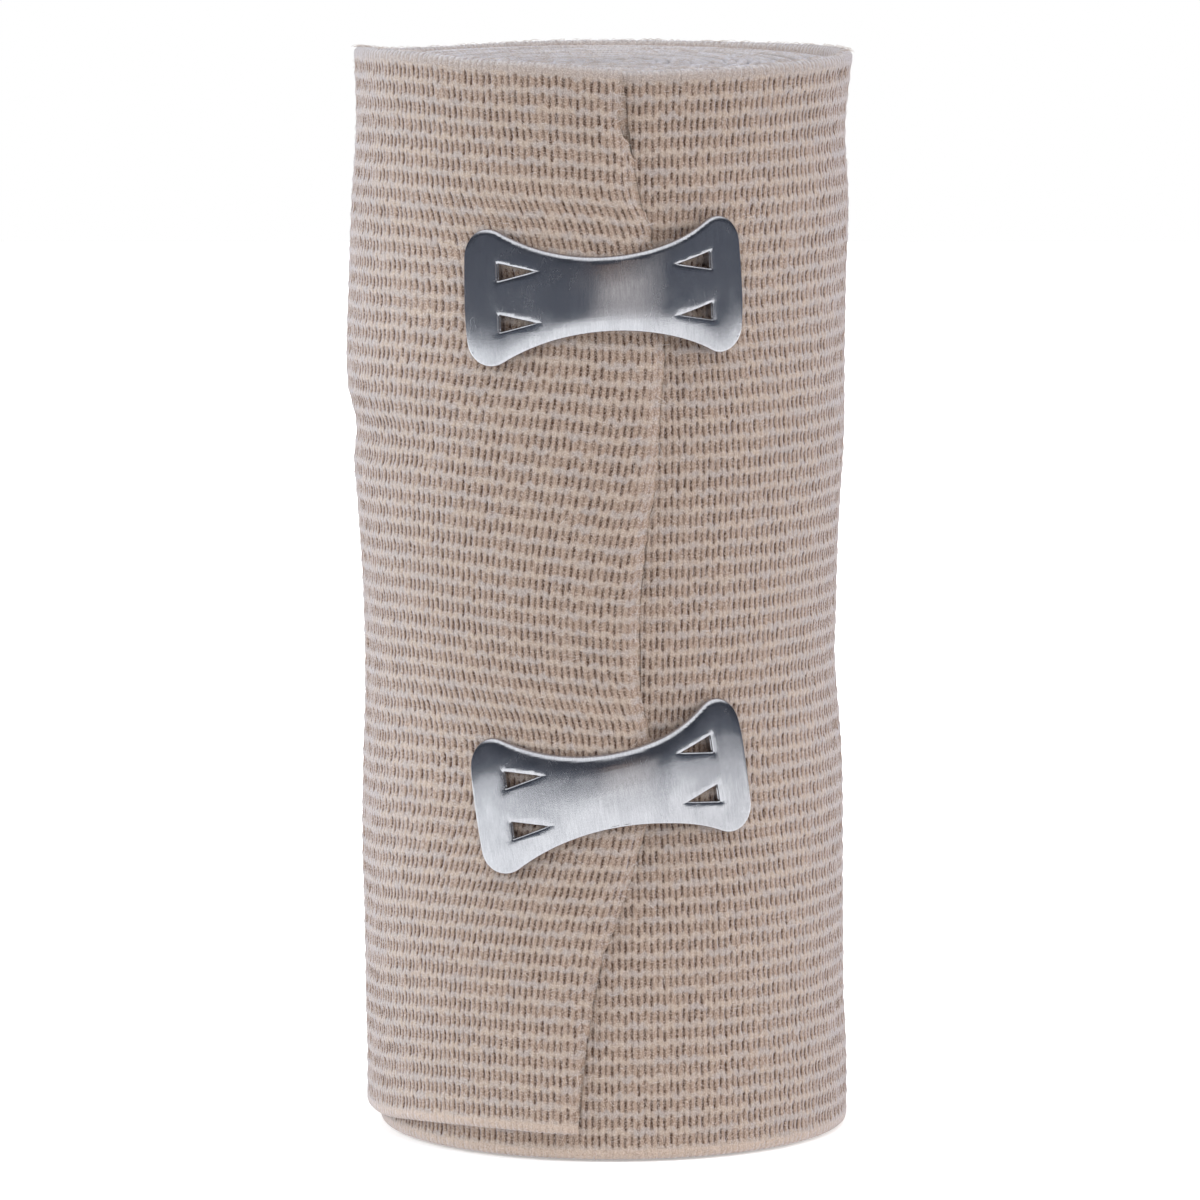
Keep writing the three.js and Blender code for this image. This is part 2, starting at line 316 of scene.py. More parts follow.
def write_mesh(name, positions, source, label, values):
    """A mesh with its points, given in millimetres, and a named vector at each of them."""
    mesh = bpy.data.meshes.new(name)
    source.to_mesh(mesh)
    source.free()
    mesh.vertices.foreach_set("co", (positions * MM).astype(np.float32).ravel())
    layer = mesh.attributes.new(label, "FLOAT_VECTOR", "POINT")
    layer.data.foreach_set("vector", values.astype(np.float32).ravel())
    return mesh


def add_piece(mesh, material, slot, *nodes):
    """Shows a mesh as a piece of the roll that stands for these nodes of the model."""
    piece = bpy.data.objects.new(mesh.name, mesh)
    bpy.context.scene.collection.objects.link(piece)
    mesh.materials.append(material)
    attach(piece, "root")
    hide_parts(*nodes)
    return piece


# Cloth

weave_draw = np.random.default_rng(WEAVE_SEED)
slit_strength = np.clip(weave_draw.normal(*SLIT_STRENGTH, (RIBS_ALL, ROWS + 2)), *SLIT_STRENGTH_LIMITS)
slit_aside = weave_draw.normal(*SLIT_ASIDE, (RIBS_ALL, ROWS + 2))
slit_above = weave_draw.normal(*SLIT_ABOVE, (RIBS_ALL, ROWS + 2))
cut_wander = weave_draw.normal(*CUT_WANDER, ROWS + 2)


def rib_angle(rib, z):
    """Angle of a rib: even steps back from the cut end, leaning where the clips pull."""
    lean = read_rows(CUT_END, z, 2) * np.exp(-((rib / LEAN_REACH) ** 2))
    under = sum(np.exp(-(((z - clip[2]) / PULL_HEIGHT) ** 2)) for clip in CLIPS)
    left, right = [pull * under * np.exp(-(((rib - middle) / PULL_RIBS) ** 2))
                   for pull, middle in zip(CLIP_PULL, CLIP_END_RIBS)]
    return CUT_END_MEAN - RIB_ANGLE * rib + lean + left - right


def row_height(rib, row, thick, angle):
    """Height of a row: even steps between the selvedges, sagging beside the cut end."""
    low = read_rows(SELVEDGES, angle, 1) + thick / 2
    high = read_rows(SELVEDGES, angle, 2) - thick / 2
    share = (row + EDGE_ROWS) / (ROWS + 2 * EDGE_ROWS)
    z = low + (high - low) * share
    return z - read_rows(SAG, z) * np.exp(-((rib / SAG_REACH) ** 2)) * np.sin(np.pi * share)


def first_rib(z):
    """Ribs that the slanting cut has taken off at a height."""
    return (CUT_END_MEAN + read_rows(CUT_END, z, 2) - read_rows(CUT_END, z, 1)) / RIB_ANGLE


def strip_stations(rows, thick, back_rows):
    """Stations round the strip's section: (row, rise, depth) from the lower selvedge up
    the outside, over the upper selvedge, down the inside and back."""
    half = thick / 2
    turn_in = [math.radians(a) for a in range(30, 180, 30)]
    top = ROWS + EDGE_ROWS
    stations = [(row, 0.0, 0.0) for row in rows]
    stations += [(top, half * math.sin(a), half * (1 - math.cos(a))) for a in turn_in]
    stations += [(row, 0.0, thick) for row in back_rows[::-1]]
    stations += [(-EDGE_ROWS, -half * math.sin(a), half * (1 + math.cos(a))) for a in turn_in]
    stations.append(stations[0])
    return np.array(stations)


def weave_rows():
    """Rows to model: each band and each slit's ends and middle."""
    rows = [-EDGE_ROWS, 0.0]
    for row in range(ROWS):
        rows += [row + part for part in ROW_PARTS]
    return rows + [ROWS + EDGE_ROWS]


def weave_columns(first, last):
    """Ribs to model: each slit's middle and its two sides."""
    columns = [first]
    for rib in range(int(first), int(last) + 1):
        columns += [rib + part for part in RIB_PARTS if first < rib + part < last]
    return np.array(columns + [last])


def close_end(grid, loop, positions):
    """Closes an end of a strip with triangles between its outside and its inside."""
    grid.verts.ensure_lookup_table()
    heights = positions[loop, 2]
    top = int(np.argmax(heights))
    one, other = 0, len(loop) - 1
    while one < top or other > top:
        rise_one = one < top and (other <= top or heights[one + 1] < heights[other - 1])
        third = one + 1 if rise_one else other - 1
        grid.faces.new([grid.verts[loop[i]] for i in dict.fromkeys((one, third, other))])
        one, other = (third, other) if rise_one else (one, third)
        if other - one < 2:
            break


def closed_strip(name, stations, columns, shape):
    """A strip of cloth as one closed form. shape gives (positions, ribs, rows, slits)
    for every column and station."""
    grid = bmesh.new()
    bmesh.ops.create_grid(grid, x_segments=len(columns) - 1, y_segments=len(stations) - 1, size=1.0)
    corners = np.array([v.co[:2] for v in grid.verts])
    across = np.rint((corners[:, 0] + 1) / 2 * (len(columns) - 1)).astype(int)
    up = np.rint((corners[:, 1] + 1) / 2 * (len(stations) - 1)).astype(int)
    positions, ribs, rows, slits = shape(columns[across], *stations[up].T)
    for column in (0, len(columns) - 1):
        loop = np.empty(len(stations), int)
        loop[up[across == column]] = np.flatnonzero(across == column)
        close_end(grid, loop[:-1], positions)
    mesh = write_mesh(name, positions, grid, "slit", slits)
    layer = mesh.uv_layers.new(name="cloth")
    index = np.empty(len(mesh.loops), int)
    mesh.loops.foreach_get("vertex_index", index)
    layer.data.foreach_set("uv", np.stack([ribs, rows], axis=-1)[index].astype(np.float32).ravel())
    joined = bmesh.new()
    joined.from_mesh(mesh)
    bmesh.ops.remove_doubles(joined, verts=joined.verts, dist=SAME_POINT * MM)
    bmesh.ops.recalc_face_normals(joined, faces=joined.faces)
    joined.to_mesh(mesh)
    joined.free()
    mesh.shade_smooth()
    return mesh


def slits_of(rib, row):
    """Strength, place aside and place above of the slit nearest to each point."""
    cell = (np.clip(np.floor(rib).astype(int), 0, RIBS_ALL - 1),
            np.clip(np.floor(row).astype(int), 0, ROWS + 1))
    return np.stack([slit_strength[cell], slit_aside[cell], slit_above[cell]], axis=-1)


def stagger(rib):
    """Neighbouring ribs sit a little up and a little down."""
    return STAGGER * np.cos(np.pi * (rib - 0.5))


def relief(rib, row, slits, inset):
    """How far the surface stands out: ribs and bands up, slits down."""
    aside = np.abs(rib % 1 - 0.5 - slits[:, 1]) / SLIT_HALF_WIDTH
    above = np.abs(row % 1 - 0.5 - stagger(rib) - slits[:, 2]) / SLIT_HALF_LENGTH
    pit = np.exp(-(aside**2)) * (1 - ease(above, *SLIT_ENDS)) * slits[:, 0]
    band = BAND_RISE * np.cos(2 * np.pi * row)
    return (band - SLIT_DEPTH * np.clip(pit, 0, SLIT_DEEPEST)) * inset


def slits_begin(rib_in, z):
    """How whole the slits are, this many ribs in from the cut end."""
    low, high = ease(z, *STRETCHED[:2]), ease(z, *STRETCHED[2:])
    stretched = low * (1 - high)
    first, whole = [slack + (tight - slack) * stretched for slack, tight in zip(*SLITS_FROM)]
    return ease(rib_in, first, whole)


def thin_edge(rib_in, depth, thick, radius):
    """Radius beside the cut end, where the cloth is thin, rounded off and pressed on."""
    local = thick * (1 - CUT_THINNED * (1 - ease(rib_in, *CUT_THIN_RIBS)))
    edge = np.clip(rib_in * RIB / CUT_ROUND, 0, 1)
    rounded = local * np.sqrt(np.clip(1 - (1 - edge) ** 2, NO_EDGE, 1))
    radius = radius + depth - thick + local / 2 + (0.5 - depth / thick) * rounded
    return radius - CUT_PRESSED * (1 - ease(rib_in, 0, CUT_PRESSED_RIBS))


def ragged_cut(row, z):
    """Ribs missing at the slanting, slightly ragged cut, by height and row."""
    nearest = np.clip(np.rint(row).astype(int), 0, ROWS + 1)
    return first_rib(z) + CUT_RAGGED * np.cos(2 * np.pi * row) + cut_wander[nearest]


def woven_shape(thick, cut=False):
    """Shape of a length of the outermost cloth, with its ribs, bands and slits."""
    def shape(column, row, rise, depth):
        rib = column.copy()
        outer = (rise == 0) & (depth == 0)
        if cut:
            missing = ragged_cut(row, row_height(rib, row, thick, CUT_END_MEAN - RIB_ANGLE * rib))
            rib = np.where(rib < CUT_RIBS, missing + rib * (CUT_RIBS - missing) / CUT_RIBS, rib)
        slits = slits_of(rib, row)
        moved = row + np.where(outer & (row % 1 > 0), stagger(rib) + slits[:, 2], 0)
        angle = rib_angle(rib, row_height(rib, moved, thick, CUT_END_MEAN - RIB_ANGLE * rib))
        z = row_height(rib, moved, thick, angle)
        scallop = SELVEDGE_SCALLOP * np.cos(2 * np.pi * rib) * np.sign(rise)
        fade = slits_begin(rib - missing, z) if cut else 1.0
        low, high = SELVEDGE_EASE
        inset = outer * fade * ease(row, -EDGE_ROWS, low) * ease(ROWS + EDGE_ROWS - row, 0, high)
        radius = outside(angle, z) - depth + relief(rib, moved, slits, inset)
        slits[:, 0] *= fade
        if cut:
            radius = thin_edge(rib - missing, depth, thick, radius)
            # The cut edge is marked for painted shade and a finish without sheen.
            slits[rib - missing < CUT_SHADED_RIBS, 0] = -1.0
        rows = moved + rise / SELVEDGE_ROW
        return on_roll(angle, z + rise + scallop, radius), rib, rows, slits
    return shape


def inner_shape(thick):
    """Shape of the inner turns, plain but for their wandering edges."""
    def shape(column, row, rise, depth):
        angle = CUT_END_MEAN - RIB_ANGLE * column
        turns = turns_back(angle)
        wave = sum(share * np.sin(turns * waves + start) for waves, start, share in INNER_WAVES)
        begun = ease(turns, *INNER_WAVE_FROM)
        high = ROLL_TOP - CORE_DROP - thick / 2 + INNER_WAVE_TOP * wave * begun
        low = thick / 2 + INNER_WAVE_FOOT * np.clip(wave, 0, 2) * begun
        z = low + (high - low) * (row + EDGE_ROWS) / (ROWS + 2 * EDGE_ROWS)
        radius = outside(angle, z) - depth
        rows = row + np.where(rise > 0, 1.0, rise)
        return on_roll(angle, z + rise * INNER_CROWN, radius), column, rows, np.zeros((len(row), 3))
    return shape


class Wire:
    """A value that changes over a surface and takes part in sums."""

    def __init__(self, tree, socket):
        self.tree = tree
        self.socket = socket

    def _math(self, operation, *values, clamp=False):
        return self.tree.node("ShaderNodeMath", {"operation": operation, "use_clamp": clamp}, *values)

    def __add__(self, other):
        return self._math("ADD", self, other)

    __radd__ = __add__

    def __sub__(self, other):
        return self._math("SUBTRACT", self, other)

    def __rsub__(self, other):
        return self._math("SUBTRACT", other, self)

    def __mul__(self, other):
        return self._math("MULTIPLY", self, other)

    __rmul__ = __mul__

    def __truediv__(self, other):
        return self._math("DIVIDE", self, other)

    def __abs__(self):
        return self._math("ABSOLUTE", self)

    def __mod__(self, other):
        return self._math("FLOORED_MODULO", self, other)

    def clamped(self):
        return self._math("ADD", self, 0.0, clamp=True)

    def ease(self, low, high, start=0.0, end=1.0):
        return self.tree.node(
            "ShaderNodeMapRange", {"interpolation_type": "SMOOTHSTEP"}, self, low, high, start, end)


class Tree:
    """The finish of one material, or the light of the room, put together step by step."""

    def __init__(self, owner):
        owner.use_nodes = True
        self.nodes = owner.node_tree.nodes
        self.links = owner.node_tree.links
        self.nodes.clear()

    def node(self, kind, settings=None, *values, out=0, **named):
        """One step: its settings, then what goes in, by place or by name."""
        made = self.nodes.new(kind)
        for key, value in (settings or {}).items():
            setattr(made, key, value)
        for place, value in [*enumerate(values), *named.items()]:
            key = place if isinstance(place, int) else place.replace("_", " ")
            self.feed(made.inputs[key], value)
        return Wire(self, made.outputs[out] if made.outputs else None)

    def split(self, wire):
        """The three parts of a vector."""
        parts = self.node("ShaderNodeSeparateXYZ", None, wire).socket.node.outputs
        return [Wire(self, part) for part in parts]

    def cosine(self, wire):
        """The cosine of an angle in radians."""
        return self.node("ShaderNodeMath", {"operation": "COSINE"}, wire)

    def feed(self, socket, value):
        """Gives an input a value or the result of another step."""
        if isinstance(value, Wire):
            self.links.new(value.socket, socket)
        elif value is not None:
            socket.default_value = value

    def noise(self, place, scale, detail, stretch, roughness=0.5):
        """Cloudy noise over a surface, drawn out along it."""
        mapped = self.node("ShaderNodeMapping", None, place, Scale=stretch)
        return self.node("ShaderNodeTexNoise", None, mapped, Scale=scale, Detail=detail,
                         Roughness=roughness)

    def mix(self, factor, first, second):
        """Mixes two colours."""
        made = self.nodes.new("ShaderNodeMix")
        made.data_type = "RGBA"
        for place, value in ((0, factor), (6, first), (7, second)):
            self.feed(made.inputs[place], value)
        return Wire(self, made.outputs[2])


def colour(red, green, blue):
    """A colour as the eye reads it, 0 to 255, turned into the linear one of a shader."""
    parts = [part / 255 for part in (red, green, blue)]
    return [p / 12.92 if p <= 0.04045 else ((p + 0.055) / 1.055) ** 2.4 for p in parts] + [1.0]


BAND_COLOUR = colour(178, 160, 145)
BAND_GREY = colour(168, 157, 151)
CREST_COLOUR = colour(159, 137, 121)
# The rows' tan darkened with painted shade, for the grooves between ribs.
ROW_GROOVE_SHADE_COLOUR = colour(139, 116, 100)
# Painted shade in the slits, the grooves and along the cut edge.
SLIT_SHADE_COLOUR = colour(74, 50, 36)
SELVEDGE_COLOUR = colour(186, 166, 151)
TOP_SELVEDGE_COLOUR = colour(162, 150, 143)
FUZZ_COLOUR = colour(206, 201, 199)
FUZZ_SHADE = colour(146, 136, 132)
HAIR_COLOUR = colour(214, 196, 182)
SHADE_COLOUR = colour(100, 80, 67)
SHEEN_COLOUR = colour(220, 222, 236)
FIBRE_DARK = colour(172, 156, 145)
FIBRE_PALE = colour(214, 206, 202)
METAL_BRIGHT = colour(214, 214, 216)
METAL_DULL = colour(200, 200, 204)
METAL_WORN = colour(168, 168, 172)

# Depths of the finest relief, in metres.
WEAVE_RELIEF = 0.00009
METAL_RELIEF = 0.00001

# How far noise moves the ribs and rows of the finish, where rows, slits and grooves fade, as shares of a
# rib or row or of a slit's half width, and how dark the painted shade of slits, grooves and the cut edge
# is.
RAGGED_RIB = 0.32
RAGGED_ROW = 0.55
ROW_FADE = (0.2, 0.38)
SLIT_SIDE_FADE = (0.1, 1.35)
SLIT_END_FADE = (0.2, 0.42)
GROOVE_FADE = (0.0, 0.36)
SLIT_SHADE_AMOUNT = 0.78
GROOVE_SHADE_AMOUNT = 0.18
CUT_SHADE_AMOUNT = 0.2

# Where selvedge and matted top begin, in rows past the last one, and how much the top
# hides of the weave.
SELVEDGE_FROM = (-0.1, 0.15)
TOP_FROM = (0.2, 0.7)
TOP_COVER = 0.9

CLOTH_ROUGHNESS = 0.92
CLOTH_SHINE = 0.1
SHEEN_ROUGHNESS = 0.36


def weave_pattern(t, cloth):
    """Ragged rows, grooves between ribs, the painted shade of slits and grooves and along the cut edge, and
    where the cut edge lies.
    """
    rib, row = t.split(cloth)[:2]
    strength, aside, above = t.split(t.node("ShaderNodeAttribute", {"attribute_name": "slit"}, out=1))
    ragged = t.noise(cloth, 1.3, 4, (1, 1.6, 1), 0.7) - 0.5
    ragged_row = t.noise(cloth, 1.1, 4, (1.6, 0.9, 1), 0.65) - 0.5
    rib_in = (rib + RAGGED_RIB * ragged) % 1.0
    beside = abs(rib_in - 0.5 - aside) / SLIT_HALF_WIDTH
    staggered = STAGGER * t.cosine(math.pi * (rib - 0.5))
    row_off = abs(row % 1.0 - 0.5 + RAGGED_ROW * ragged_row - staggered - above)
    in_row = row_off.ease(*ROW_FADE, 1.0, 0.0)
    slit = beside.ease(*SLIT_SIDE_FADE, 1.0, 0.0) * row_off.ease(*SLIT_END_FADE, 1.0, 0.0)
    groove_shade = abs(rib_in - 0.5).ease(*GROOVE_FADE, 1.0, 0.0)
    # Painted shade along the cut edge, which is marked by a slit strength below zero.
    cut = (0.0 - strength).clamped()
    hollow_shade = (slit * strength * SLIT_SHADE_AMOUNT + groove_shade * GROOVE_SHADE_AMOUNT + cut * CUT_SHADE_AMOUNT).clamped()
    return in_row, groove_shade, hollow_shade, (0.0 - strength).ease(0.0, 0.5)


def nap_pattern(t, cloth):
    """The nap of the cloth: fuzz, strokes, grain and single hairs."""
    fuzz = t.noise(cloth, 2.6, 4, (1, 2.4, 1), 0.8)
    strokes = t.noise(cloth, 2.0, 3, (2.2, 1.2, 1), 0.75)
    grain = t.noise(cloth, 5.2, 2, (1, 2.4, 1), 0.7)
    hairs = t.noise(cloth, 1.9, 3, (1, 2.6, 1), 0.6) - 0.5
    hair = abs(hairs).ease(0.004, 0.03, 1.0, 0.0) * strokes.ease(0.4, 0.55)
    return fuzz, strokes, grain, hair


def weave_colour(t, cloth, row, pattern, nap):
    """Colour of the cloth: bands, ribs, selvedges, then painted shade in slits, grooves and along the cut
    edge, and nap, then its top.
    """
    in_row, groove_shade, hollow_shade = pattern
    fuzz, strokes, grain, hair = nap
    patches = t.noise(cloth, 0.35, 4, (1, 2.0, 1), 0.6).ease(0.4, 0.62)
    band = t.mix(patches, BAND_COLOUR, BAND_GREY)
    # The rows' tan, darker towards the grooves between ribs: painted shade.
    ribs = t.mix(groove_shade, CREST_COLOUR, ROW_GROOVE_SHADE_COLOUR)
    woven = t.mix(in_row, band, ribs)
    on_edge = (abs(row - ROWS / 2) - ROWS / 2).ease(*SELVEDGE_FROM)
    high = (row - ROWS / 2).ease(0, 1)
    woven = t.mix(on_edge, woven, t.mix(high, SELVEDGE_COLOUR, TOP_SELVEDGE_COLOUR))
    # Strokes, fuzz, grain and hairs vary the tone at random; the slits, grooves and cut edge get painted
    # shade.
    for mask, tint in ((strokes.ease(0.45, 0.7) * 0.4, SHADE_COLOUR),
                       (hollow_shade * (1 - on_edge), SLIT_SHADE_COLOUR),
                       (fuzz.ease(0.48, 0.7) * 0.5, HAIR_COLOUR),
                       (grain.ease(0.5, 0.75) * 0.5, HAIR_COLOUR),
                       (grain.ease(0.5, 0.25) * 0.4, SHADE_COLOUR),
                       (hair * 0.6, HAIR_COLOUR)):
        woven = t.mix(mask, woven, tint)
    matted = t.noise(cloth, 3.0, 5, (1, 2.0, 1), 0.8).ease(0.35, 0.65)
    on_top = (row - ROWS).ease(*TOP_FROM) * TOP_COVER
    return t.mix(on_top, woven, t.mix(matted, FUZZ_SHADE, FUZZ_COLOUR))


def cloth_material():
    """Elastic cloth: rows of ribs with slits between them, pale bands between the rows, and painted shade
    in the slits, the grooves and along the cut edge.
    """
    material = bpy.data.materials.new("bandage_cloth")
    t = Tree(material)
    cloth = t.node("ShaderNodeUVMap", {"uv_map": "cloth"})
    in_row, groove_shade, hollow_shade, at_cut = weave_pattern(t, cloth)
    fuzz, strokes, grain, hair = nap = nap_pattern(t, cloth)
    painted = weave_colour(t, cloth, t.split(cloth)[1], (in_row, groove_shade, hollow_shade), nap)
    rise = (0.5 - 0.5 * in_row - hollow_shade * 1.1 + fuzz * 0.9 + strokes * 0.4 + hair * 0.3) * WEAVE_RELIEF
    bump = t.node("ShaderNodeBump", None, Strength=0.8, Distance=1.0, Height=rise)
    plain = {"Roughness": CLOTH_ROUGHNESS, "Normal": bump, "Specular_IOR_Level": CLOTH_SHINE}
    downy = t.node("ShaderNodeBsdfPrincipled", None, painted, **plain, Sheen_Weight=1.0,
                   Sheen_Roughness=SHEEN_ROUGHNESS, Sheen_Tint=SHEEN_COLOUR)
    # Along the cut edge the sheen is left off as well: painted shade.
    cut = t.node("ShaderNodeBsdfPrincipled", None, painted, **plain)
    t.node("ShaderNodeOutputMaterial", None, t.node("ShaderNodeMixShader", None, at_cut, downy, cut))
    return material


def fuzz_material():
    """Loose cotton fibres, paler than the cloth they stand out of."""
    material = bpy.data.materials.new("bandage_fuzz")
    t = Tree(material)
    place = t.node("ShaderNodeTexCoord", None, out=3)
    shade = t.node("ShaderNodeTexNoise", None, place, Scale=900.0, Detail=2.0)
    tone = t.mix(shade.ease(0.3, 0.7), FIBRE_DARK, FIBRE_PALE)
    shader = t.node("ShaderNodeBsdfPrincipled", None, tone, Roughness=0.9,
                    Specular_IOR_Level=CLOTH_SHINE)
    t.node("ShaderNodeOutputMaterial", None, shader)
    return material


def fibre(draw, root, outward):
    """Points of one short fibre that leaves the cloth, curls and lies back."""
    aside = np.cross(outward, draw.normal(0, 1, 3))
    aside /= np.linalg.norm(aside)
    curl = np.cross(outward, aside)
    length = draw.uniform(*FIBRE_LENGTH)
    height = draw.uniform(*FIBRE_HEIGHT)
    bend = draw.normal(0, FIBRE_BEND) * length
    for share in np.linspace(0, 1, FIBRE_POINTS):
        yield (root + aside * length * (share - 0.5) + curl * bend * share * share
               + outward * (height * math.sin(math.pi * share) - FIBRE_ROOT))


def side_roots(draw):
    """Places on the outside of the cloth, the first of them at its cut edge."""
    rib = draw.uniform(OUTSIDE_FIRST_RIB, UNDER_RIB, OUTSIDE_FIBRES)
    row = draw.uniform(0, ROWS, OUTSIDE_FIBRES)
    rib[:EDGE_FIBRES] = draw.uniform(0, EDGE_FIBRE_RIBS, EDGE_FIBRES)
    z = row_height(rib, row, OUTER_THICK, CUT_END_MEAN - RIB_ANGLE * rib)
    near_cut = np.maximum(rib, first_rib(z) + rib * 0.5)
    angle = rib_angle(near_cut, z)
    sunk = np.where(near_cut - first_rib(z) < THIN_RIBS, THIN_SUNK, 0.0)
    ways = on_roll(angle, np.zeros(len(z)), np.ones(len(z)))
    return on_roll(angle, z, outside(angle, z) - sunk), ways


def top_roots(draw):
    """Places on the turns at the top and on the rim of the outermost cloth."""
    radius = np.sqrt(draw.uniform(CORE_RADIUS**2, TOP_FIBRE_REACH**2, TOP_FIBRES))
    around = draw.uniform(-TURN / 2, TURN / 2, TOP_FIBRES)
    tops = on_roll(around, np.full(TOP_FIBRES, ROLL_TOP - CORE_DROP), radius)
    angle = draw.uniform(*RIM_ANGLES, RIM_FIBRES)
    z = read_rows(SELVEDGES, angle, 2)
    across = OUTER_THICK * draw.uniform(*RIM_ACROSS, RIM_FIBRES)
    return np.vstack([tops, on_roll(angle, z, outside(angle, z) - across)])


def fuzz_mesh():
    """All the loose fibres as one mesh of thin, closed threads."""
    draw = np.random.default_rng(FIBRE_SEED)
    curve = bpy.data.curves.new("bandage_fuzz", "CURVE")
    curve.dimensions = "3D"
    curve.bevel_depth = FIBRE_RADIUS * MM
    curve.bevel_resolution = 0
    curve.use_fill_caps = True
    sides, ways = side_roots(draw)
    tops = top_roots(draw)
    up = np.tile([0.0, 0.0, 1.0], (len(tops), 1))
    for root, outward in zip(np.vstack([sides, tops]), np.vstack([ways, up])):
        spline = curve.splines.new("POLY")
        spline.points.add(FIBRE_POINTS - 1)
        for point, place in zip(spline.points, fibre(draw, root, outward)):
            point.co = (*(place * MM), 1)
    holder = bpy.data.objects.new("bandage_fuzz", curve)
    bpy.context.scene.collection.objects.link(holder)
    bpy.context.view_layer.update()
    mesh = bpy.data.meshes.new_from_object(
        holder.evaluated_get(bpy.context.evaluated_depsgraph_get()))
    mesh.name = "bandage_fuzz"
    bpy.data.objects.remove(holder)
    bpy.data.curves.remove(curve)
    mesh.materials.clear()
    return mesh


# Clips

def clip_outline():
    """Half outline of a flat clip, from its middle to its end, as (x, half width)."""
    corner_x = CLIP_HALF_LENGTH - CORNER_RADIUS
    rise = CORNER_HEIGHT - CLIP_WAIST_HALF
    hollow = (corner_x**2 + rise**2 - CORNER_RADIUS**2) / (2 * (CORNER_RADIUS + rise))
    away = corner_x / (hollow + CORNER_RADIUS)
    meet_x = corner_x - CORNER_RADIUS * away
    arm = [(x, CLIP_WAIST_HALF + hollow - math.sqrt(hollow**2 - x**2))
           for x in np.linspace(0, meet_x, ARM_POINTS, endpoint=False)]
    corner = [(corner_x + CORNER_RADIUS * math.sin(a), CORNER_HEIGHT + CORNER_RADIUS * math.cos(a))
              for a in np.linspace(-math.asin(away), math.pi / 2, CORNER_POINTS)]
    return arm + corner


OUTLINE = clip_outline()


def clip_seat(clip, angle, z):
    """Radius a clip's inner face lies at, straight across its width."""
    height = clip[2]
    above = outside(angle, height + CLIP_SPAN)
    below = outside(angle, height - CLIP_SPAN)
    lean = (above - below) / (2 * CLIP_SPAN)
    cut_end = read_rows(CUT_END, height, 1)
    drop = OUTER_PITCH * ease(angle, cut_end + CLIP_STEP[0], cut_end + CLIP_STEP[1])
    return (above + below) / 2 + lean * (z - height) + CLIP_CLOTH - drop


def bend_clip(clip, flat):
    """Bends points of a flat clip round the roll, crowned so its long edges lie lowest."""
    _, middle, height, tilt, ridge = clip
    tilt = math.radians(tilt)
    along = flat[:, 0] * math.cos(tilt) - flat[:, 1] * math.sin(tilt)
    z = height + flat[:, 0] * math.sin(tilt) + flat[:, 1] * math.cos(tilt)
    angle = middle + np.degrees(along / clip_seat(clip, middle, height))
    half = np.interp(np.abs(flat[:, 0]), *zip(*OUTLINE))
    across = flat[:, 1] / half - ridge
    crown = CLIP_CROWN * (1 - (across / np.where(across > 0, 1 - ridge, 1 + ridge)) ** 2)
    crown -= CLIP_LIP * np.clip(1 - (half - flat[:, 1]) / CLIP_LIP_REACH, 0, 1) ** 2
    return on_roll(angle, z, clip_seat(clip, angle, z) + crown + flat[:, 2])


def flat_clip(name):
    """The stamped sheet: its outline and its four triangular holes, with soft edges."""
    curve = bpy.data.curves.new(name, "CURVE")
    curve.dimensions = "2D"
    curve.fill_mode = "BOTH"
    curve.bevel_depth = CLIP_BEVEL
    curve.bevel_resolution = 3
    curve.extrude = CLIP_THICK / 2 - CLIP_BEVEL
    curve.offset = -CLIP_BEVEL
    right = OUTLINE + [(x, -y) for x, y in reversed(OUTLINE)]
    left = [(-x, y) for x, y in reversed(right[1:-1])]
    loops = [right + left]
    for end, y in PUNCHES:
        base = end * PRONG_BASE
        loops.append([(base, y - PUNCH_WIDTH / 2), (base, y + PUNCH_WIDTH / 2),
                      (base - end * PUNCH_LENGTH, y)])
    for loop in loops:
        spline = curve.splines.new("POLY")
        spline.points.add(len(loop) - 1)
        spline.use_cyclic_u = True
        for point, (x, y) in zip(spline.points, loop):
            point.co = (x, y, 0, 1)
    holder = bpy.data.objects.new(name, curve)
    bpy.context.scene.collection.objects.link(holder)
    bpy.context.view_layer.update()
    flat = bmesh.new()
    flat.from_mesh(holder.evaluated_get(bpy.context.evaluated_depsgraph_get()).to_mesh())
    bpy.data.objects.remove(holder)
    bpy.data.curves.remove(curve)
    bmesh.ops.remove_doubles(flat, verts=flat.verts, dist=SAME_POINT)
    for reach, normal in zip(CLIP_GRID_REACH, (Vector((1, 0, 0)), Vector((0, 1, 0)))):
        for place in np.arange(-reach, reach + CLIP_GRID / 2, CLIP_GRID):
            geometry = flat.verts[:] + flat.edges[:] + flat.faces[:]
            bmesh.ops.bisect_plane(flat, geom=geometry, plane_co=normal * (place + CLIP_GRID_START),
                                   plane_no=normal, dist=SAME_POINT)
    bmesh.ops.translate(flat, verts=flat.verts, vec=(0, 0, CLIP_THICK / 2))
    return flat


def add_prongs(flat):
    """Four tapered tabs that hang from the outer edges of the holes."""
    for end, y in PUNCHES:
        tab = bmesh.ops.create_grid(flat, size=0.5, **PRONG_GRID)["verts"]
        for vert in tab:
            share = vert.co.y + 0.5
            half = (PRONG_TIP + (PUNCH_WIDTH - PRONG_TIP) * share) / 2
            curl = end * PRONG_CURL * (1 - share) ** 2
            vert.co = Vector((end * PRONG_BASE - curl, y + 2 * half * vert.co.x,
                              -PRONG_LENGTH * (1 - share) + PRONG_ROOT * share))
        faces = dict.fromkeys(face for vert in tab for face in vert.link_faces)
        bmesh.ops.solidify(flat, geom=list(faces), thickness=PRONG_THICK)


